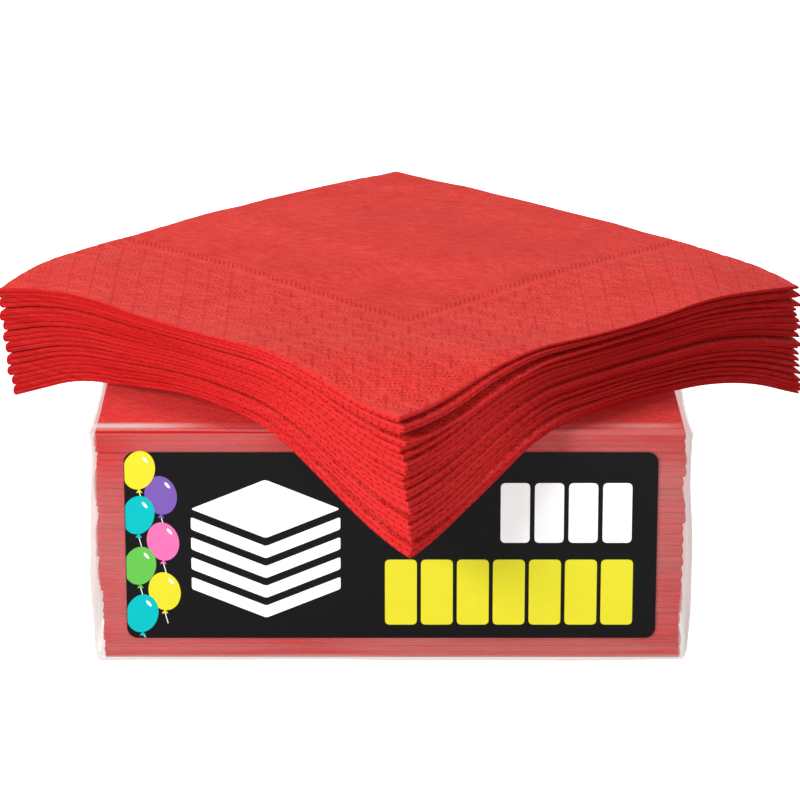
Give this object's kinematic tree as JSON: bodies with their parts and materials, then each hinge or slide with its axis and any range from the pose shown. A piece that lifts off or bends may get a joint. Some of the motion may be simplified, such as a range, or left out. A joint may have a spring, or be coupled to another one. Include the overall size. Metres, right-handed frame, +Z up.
{
  "type": "pack of folded paper napkins",
  "caption": "Film-wrapped block of quarter-folded red tissue napkins with a front label, and a loose stack of the same napkins lying across its top with drooping corners.",
  "frame": {"origin": "middle of the wrapped block's underside", "axes": "+Z up, -Y out of the labelled front, +X to the right as seen from the front"},
  "size_m": [0.2386, 0.2363, 0.0987],
  "materials": {
    "clear_film": "clear soft plastic film, slightly hazy, glossy where it pulls tight",
    "label": "black printed label with plain coloured shapes, satin",
    "wrapped_tissue": "red dyed tissue, folded, edges showing every leaf",
    "loose_tissue": "red dyed tissue with an embossed border along the open edges, fine crepe in the middle"
  },
  "bodies": {
    "wrapped_block": {"film_wrap": "clear_film", "front_label": "label", "pack_napkin_01": "wrapped_tissue", "pack_napkin_02": "wrapped_tissue", "pack_napkin_03": "wrapped_tissue", "pack_napkin_04": "wrapped_tissue", "pack_napkin_05": "wrapped_tissue", "pack_napkin_06": "wrapped_tissue", "pack_napkin_07": "wrapped_tissue", "pack_napkin_08": "wrapped_tissue", "pack_napkin_09": "wrapped_tissue", "pack_napkin_10": "wrapped_tissue", "pack_napkin_11": "wrapped_tissue", "pack_napkin_12": "wrapped_tissue", "pack_napkin_13": "wrapped_tissue", "pack_napkin_14": "wrapped_tissue", "pack_napkin_15": "wrapped_tissue", "pack_napkin_16": "wrapped_tissue", "pack_napkin_17": "wrapped_tissue", "pack_napkin_18": "wrapped_tissue", "pack_napkin_19": "wrapped_tissue", "pack_napkin_20": "wrapped_tissue"},
    "napkin_01": {"loose_napkin_01": "loose_tissue"},
    "napkin_02": {"loose_napkin_02": "loose_tissue"},
    "napkin_03": {"loose_napkin_03": "loose_tissue"},
    "napkin_04": {"loose_napkin_04": "loose_tissue"},
    "napkin_05": {"loose_napkin_05": "loose_tissue"},
    "napkin_06": {"loose_napkin_06": "loose_tissue"},
    "napkin_07": {"loose_napkin_07": "loose_tissue"},
    "napkin_08": {"loose_napkin_08": "loose_tissue"},
    "napkin_09": {"loose_napkin_09": "loose_tissue"},
    "napkin_10": {"loose_napkin_10": "loose_tissue"},
    "flap": {"top_napkin_flap": "loose_tissue"}
  },
  "joints": [
    {"name": "lift_01", "type": "slide", "parent": "wrapped_block", "child": "napkin_01", "axis": [0, 0, 1], "range_m": [0, 0.03]},
    {"name": "lift_02", "type": "slide", "parent": "napkin_01", "child": "napkin_02", "axis": [0, 0, 1], "range_m": [0, 0.03]},
    {"name": "lift_03", "type": "slide", "parent": "napkin_02", "child": "napkin_03", "axis": [0, 0, 1], "range_m": [0, 0.03]},
    {"name": "lift_04", "type": "slide", "parent": "napkin_03", "child": "napkin_04", "axis": [0, 0, 1], "range_m": [0, 0.03]},
    {"name": "lift_05", "type": "slide", "parent": "napkin_04", "child": "napkin_05", "axis": [0, 0, 1], "range_m": [0, 0.03]},
    {"name": "lift_06", "type": "slide", "parent": "napkin_05", "child": "napkin_06", "axis": [0, 0, 1], "range_m": [0, 0.03]},
    {"name": "lift_07", "type": "slide", "parent": "napkin_06", "child": "napkin_07", "axis": [0, 0, 1], "range_m": [0, 0.03]},
    {"name": "lift_08", "type": "slide", "parent": "napkin_07", "child": "napkin_08", "axis": [0, 0, 1], "range_m": [0, 0.03]},
    {"name": "lift_09", "type": "slide", "parent": "napkin_08", "child": "napkin_09", "axis": [0, 0, 1], "range_m": [0, 0.03]},
    {"name": "lift_10", "type": "slide", "parent": "napkin_09", "child": "napkin_10", "axis": [0, 0, 1], "range_m": [0, 0.03]},
    {"name": "open_flap", "type": "hinge", "parent": "napkin_10", "child": "flap", "pos_m": [-0.06078, 0.05761, 0.09133], "axis": [-0.7019, -0.7111, -0.041], "range_deg": [0, 175]}
  ]
}
